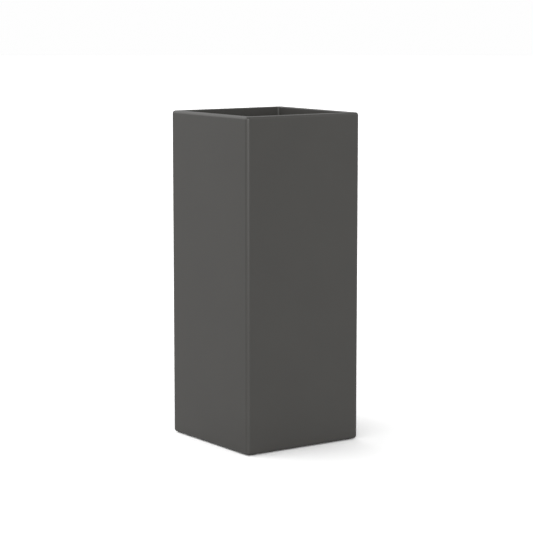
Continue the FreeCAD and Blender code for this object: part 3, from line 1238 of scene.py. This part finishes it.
@dataclass
class Feet:
    """The four rubber feet with their washers and screws."""

    radius: float = 14.0 * MM
    height: float = 6.0 * MM
    counterbore: float = 6.6 * MM
    counterbore_top: float = 3.6 * MM
    hole: float = 2.7 * MM
    groove_width: float = 1.0 * MM
    groove_depth: float = 0.6 * MM
    groove_radii: tuple[float, ...] = (9.2 * MM, 11.4 * MM)
    washer: float = 6.2 * MM
    washer_hole: float = 2.65 * MM
    washer_low: float = 2.6 * MM
    head: float = 4.75 * MM
    head_low: float = 0.6 * MM
    shank: float = 2.4 * MM
    core: float = 1.75 * MM
    tip: float = 20.6 * MM
    thread_pitch: float = 1.8 * MM
    recess_span: float = 5.0 * MM
    recess_bar: float = 1.1 * MM
    recess_depth: float = 1.2 * MM
    screw_turns: tuple[float, ...] = (12.0, 71.0, 38.0, 55.0)
    foot_steps: int = 72
    washer_steps: int = 64
    screw_steps: int = 48

    def foot(self) -> BMesh:
        """Turn one foot, with grooves moulded into its tread."""
        profile = [
            (self.hole, self.counterbore_top),
            (self.counterbore, self.counterbore_top),
            (self.counterbore, 0.5 * MM),
            (self.counterbore + 0.5 * MM, 0.0),
        ]
        for radius in self.groove_radii:
            half = self.groove_width / 2
            profile += [
                (radius - half, 0.0),
                (radius - half * 0.6, self.groove_depth),
                (radius + half * 0.6, self.groove_depth),
                (radius + half, 0.0),
            ]
        profile += [
            (self.radius - 0.8 * MM, 0.0),
            (self.radius - 0.25 * MM, 0.25 * MM),
            (self.radius, 0.8 * MM),
            (self.radius, self.height),
            (self.hole, self.height),
        ]
        return spun(profile, self.foot_steps)

    def washer_ring(self) -> BMesh:
        """Turn one washer with its edges rolled."""
        low, high = self.washer_low, self.washer_low + 1.0 * MM
        edge = 0.2 * MM
        profile = [
            (self.washer_hole, low + edge),
            (self.washer_hole + edge, low),
            (self.washer - edge, low),
            (self.washer, low + edge),
            (self.washer, high - edge),
            (self.washer - edge, high),
            (self.washer_hole + edge, high),
            (self.washer_hole, high - edge),
        ]
        return spun(profile, self.washer_steps)

    def screw(self) -> BMesh:
        """Turn one pan head screw, wind its thread and sink its cross recess."""
        low, under = self.head_low, self.washer_low
        profile = [
            (0.0, low),
            (2.6 * MM, low + 0.02 * MM),
            (self.head - 0.75 * MM, low + 0.3 * MM),
            (self.head - 0.2 * MM, low + 0.8 * MM),
            (self.head, low + 1.3 * MM),
            (self.head, under),
            (self.core + 0.5 * MM, under),
            (self.core, under + 0.5 * MM),
            (self.core, self.tip - 4.0 * MM),
            (0.5 * MM, self.tip - 0.2 * MM),
            (0.0, self.tip),
        ]
        bm = spun(profile, self.screw_steps)
        cutter = bmesh.new()
        for turn in (0.0, math.pi / 2):
            made = bmesh.ops.create_cube(cutter, size=1.0)
            for vert in made["verts"]:
                if vert.co.z > 0:
                    span, bar, height = self.recess_span * 0.45, self.recess_bar * 0.6, self.recess_depth
                else:
                    span, bar, height = self.recess_span, self.recess_bar, -0.2 * MM
                vert.co = Vector((vert.co.x * span, vert.co.y * bar, low + height))
            bmesh.ops.rotate(
                cutter, verts=made["verts"], cent=(0, 0, 0), matrix=Matrix.Rotation(turn, 3, "Z")
            )
        bm = worked(bm, "BOOLEAN", cutter, operation="DIFFERENCE", solver="EXACT", use_self=True)
        tidy(bm)
        depth, start, end = self.shank - self.core, under + 2.0 * MM, self.tip - 3.6 * MM
        join(bm, helix_thread(self.shank, depth, self.thread_pitch, start, end, 32))
        return bm

    def make(self) -> None:
        """Show each foot, and the four washers and the four screws as one piece each."""
        screws, washers = bmesh.new(), bmesh.new()
        for name, turn in zip(CORNERS, self.screw_turns):
            low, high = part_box("foot_" + name)
            centre = Matrix.Translation(((low.x + high.x) / 2, (low.y + high.y) / 2, 0.0))
            for target, source, angle in ((screws, self.screw(), turn), (washers, self.washer_ring(), 0.0)):
                join(target, source, centre @ Matrix.Rotation(math.radians(angle), 4, "Z"))
            foot = bmesh.new()
            join(foot, self.foot(), centre)
            show_piece(foot, "tread_" + name, Body.PLANTER, (RUBBER,), ("foot_" + name,))
        show_piece(washers, "steel_washers", Body.PLANTER, (STEEL,), ("foot_washers",))
        show_piece(screws, "pan_head_screws", Body.PLANTER, (STEEL,), ("foot_screws",))


@dataclass
class ShelfBrackets:
    """The laminate corner brackets that carry the shelf, kept as their CAD solids."""

    def make(self) -> None:
        """Dress every bracket."""
        for corner in CORNERS:
            dress_node("shelf_bracket_" + corner, LAMINATE)


@dataclass
class PlantingShelf:
    """The drilled board that lifts out through the mouth."""

    corner: float = 10.0 * MM
    edge: float = 1.0 * MM
    hole: float = 6.0 * MM
    pitch: float = 52.0 * MM
    rows: int = 4
    finger_hole: float = 14.0 * MM
    finger_inset: float = 28.0 * MM
    corner_steps: int = 10
    hole_steps: int = 40
    finger_steps: int = 64

    def board(self) -> BMesh:
        """Model the board: a rounded plate, drilled, with every edge broken.

        Returns:
            The closed mesh.
        """
        low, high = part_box("planting_shelf")
        half = high.x
        bm = bmesh.new()
        outlines = [rounded_square(bm, half, z, self.corner, self.corner_steps) for z in (low.z, high.z)]
        skin(bm, outlines)
        for outline in outlines:
            bmesh.ops.contextual_create(bm, geom=outline)
        tidy(bm)
        drills = bmesh.new()
        middle = Vector((0.0, 0.0, (low.z + high.z) / 2))
        depth = high.z - low.z + 4.0 * MM
        first = -self.pitch * (self.rows - 1) / 2
        places = [
            (first + self.pitch * column, first + self.pitch * row, self.hole, self.hole_steps)
            for column in range(self.rows)
            for row in range(self.rows)
        ]
        finger = half - self.finger_inset
        places += [(side * finger, 0.0, self.finger_hole, self.finger_steps) for side in (-1, 1)]
        for x, y, radius, steps in places:
            bmesh.ops.create_cone(
                drills,
                cap_ends=True,
                segments=steps,
                radius1=radius,
                radius2=radius,
                depth=depth,
                matrix=Matrix.Translation(middle + Vector((x, y, 0.0))),
            )
        bm = cut_away(bm, drills)
        tidy(bm)
        level = [
            edge
            for edge in bm.edges
            if abs(edge.verts[0].co.z - edge.verts[1].co.z) < NEAR and edge_angle(edge) > CREASE_ANGLE
        ]
        soften(bm, level, self.edge, 3)
        return bm

    def make(self) -> None:
        """Show the board."""
        show_piece(
            self.board(), "drilled_board", Body.SHELF, (SHELF_PLASTIC,), ("planting_shelf",)
        )


# --- camera, floor and light --------------------------------------------------------------------


@dataclass(frozen=True)
class SoftLight:
    """One broad light of the surround.

    Attributes:
        azimuth: Where it stands, in degrees from +X towards +Y.
        elevation: Its height over the horizon, in degrees.
        strength: Radiance at its middle.
    """

    azimuth: float
    elevation: float
    strength: float

    def toward(self) -> Vector:
        """Point from the planter to the light."""
        turn, rise = math.radians(self.azimuth), math.radians(self.elevation)
        return Vector((math.cos(turn) * math.cos(rise), math.sin(turn) * math.cos(rise), math.sin(rise)))


@dataclass
class Studio:
    """The photograph's camera, a plain white floor and a surround of soft lights."""

    eye: tuple[float, float, float] = (-2.54188, -3.64266, 1.02009)
    yaw_degrees: float = 34.9617
    pitch_degrees: float = 7.9293
    lens_mm: float = 130.19
    sensor_mm: float = 36.0
    floor_radius: float = 30.0
    lights: tuple[SoftLight, ...] = (
        SoftLight(180.0, 40.0, 0.84),
        SoftLight(215.0, 10.0, 0.59),
        SoftLight(215.0, 40.0, 0.16),
        SoftLight(240.0, 10.0, 4.3),
        SoftLight(315.0, 20.0, 0.76),
        SoftLight(0.0, 20.0, 1.78),
        SoftLight(55.0, 15.0, 0.33),
        SoftLight(75.0, 50.0, 1.21),
        SoftLight(145.0, 40.0, 1.56),
        SoftLight(110.0, 15.0, 1.19),
    )
    light_power: float = 10.0
    backdrop: float = 0.99
    floor_seen: float = 1.63
    floor_bounce: float = 0.6

    def camera(self) -> None:
        """Set up the camera that the photograph was fitted with."""
        data = bpy.data.cameras.new("photograph")
        data.lens = self.lens_mm
        data.sensor_width = self.sensor_mm
        data.clip_end = 200.0
        camera = bpy.data.objects.new("photograph", data)
        bpy.context.scene.collection.objects.link(camera)
        yaw, pitch = math.radians(self.yaw_degrees), math.radians(self.pitch_degrees)
        forward = Vector(
            (math.sin(yaw) * math.cos(pitch), math.cos(yaw) * math.cos(pitch), -math.sin(pitch))
        )
        camera.location = self.eye
        camera.rotation_euler = forward.to_track_quat("-Z", "Y").to_euler()
        bpy.context.scene.camera = camera

    def floor(self) -> None:
        """Lay the white floor, burnt out to the camera as in the photograph and clear from beneath."""
        bm = bmesh.new()
        bmesh.ops.create_circle(bm, cap_ends=True, segments=64, radius=self.floor_radius)
        mesh = bpy.data.meshes.new("studio_floor")
        bm.to_mesh(mesh)
        bm.free()
        floor = bpy.data.objects.new("studio_floor", mesh)
        bpy.context.scene.collection.objects.link(floor)
        material = bpy.data.materials.new("white_studio_floor")
        material.use_nodes = True
        tree = material.node_tree
        tree.nodes.clear()
        seen = add_node(tree, "ShaderNodeLightPath").outputs["Is Camera Ray"]
        tone = add_node(
            tree,
            "ShaderNodeMapRange",
            {"Value": seen, "To Min": self.floor_bounce, "To Max": self.floor_seen},
        )
        paint = add_node(tree, "ShaderNodeBsdfDiffuse", {"Color": tone.outputs[0]})
        clear = add_node(tree, "ShaderNodeBsdfTransparent")
        beneath = add_node(tree, "ShaderNodeNewGeometry").outputs["Backfacing"]
        sheet = add_node(tree, "ShaderNodeMixShader", {0: beneath, 1: paint.outputs[0], 2: clear.outputs[0]})
        add_node(tree, "ShaderNodeOutputMaterial", {"Surface": sheet.outputs[0]})
        mesh.materials.append(material)

    def light(self) -> None:
        """Light the scene from a surround of soft lights, which the camera sees as plain white."""
        world = bpy.data.worlds.new("soft_surround")
        bpy.context.scene.world = world
        world.use_nodes = True
        tree = world.node_tree
        tree.nodes.clear()
        direction = add_node(tree, "ShaderNodeTexCoord").outputs["Generated"]
        level: Any = 0.0
        for light in self.lights:
            facing = add_node(
                tree, "ShaderNodeVectorMath", {0: direction, 1: light.toward()}, operation="DOT_PRODUCT"
            )
            lit = add_node(tree, "ShaderNodeMath", {0: facing.outputs["Value"], 1: 0.0}, operation="MAXIMUM")
            lobe = add_node(
                tree, "ShaderNodeMath", {0: lit.outputs[0], 1: self.light_power}, operation="POWER"
            )
            values = {0: lobe.outputs[0], 1: light.strength, 2: level}
            level = add_node(tree, "ShaderNodeMath", values, operation="MULTIPLY_ADD").outputs[0]
        surround = add_node(tree, "ShaderNodeBackground", {"Color": level})
        backdrop = add_node(
            tree, "ShaderNodeBackground", {"Color": (1.0, 1.0, 1.0, 1.0), "Strength": self.backdrop}
        )
        seen = add_node(tree, "ShaderNodeLightPath").outputs["Is Camera Ray"]
        mix = add_node(
            tree, "ShaderNodeMixShader", {0: seen, 1: surround.outputs[0], 2: backdrop.outputs[0]}
        )
        add_node(tree, "ShaderNodeOutputWorld", {"Surface": mix.outputs[0]})

    def make(self) -> None:
        """Set up the camera, floor, light and the plain view transform."""
        self.camera()
        self.floor()
        self.light()
        scene = bpy.context.scene
        scene.view_settings.view_transform = "Standard"
        scene.view_settings.look = "None"
        scene.view_settings.exposure = 0.0
        scene.view_settings.gamma = 1.0


def main() -> None:
    """Build every sub-assembly in order, then the studio."""
    logging.basicConfig(level=logging.INFO, format="%(name)s: %(message)s")
    for assembly in (
        Shell(), CoreStrips(), InsideFloor(), Drain(), Feet(), ShelfBrackets(), PlantingShelf(), Studio()
    ):
        assembly.make()
        log.info("%s done", type(assembly).__name__)


if __name__ == "__main__":
    main()
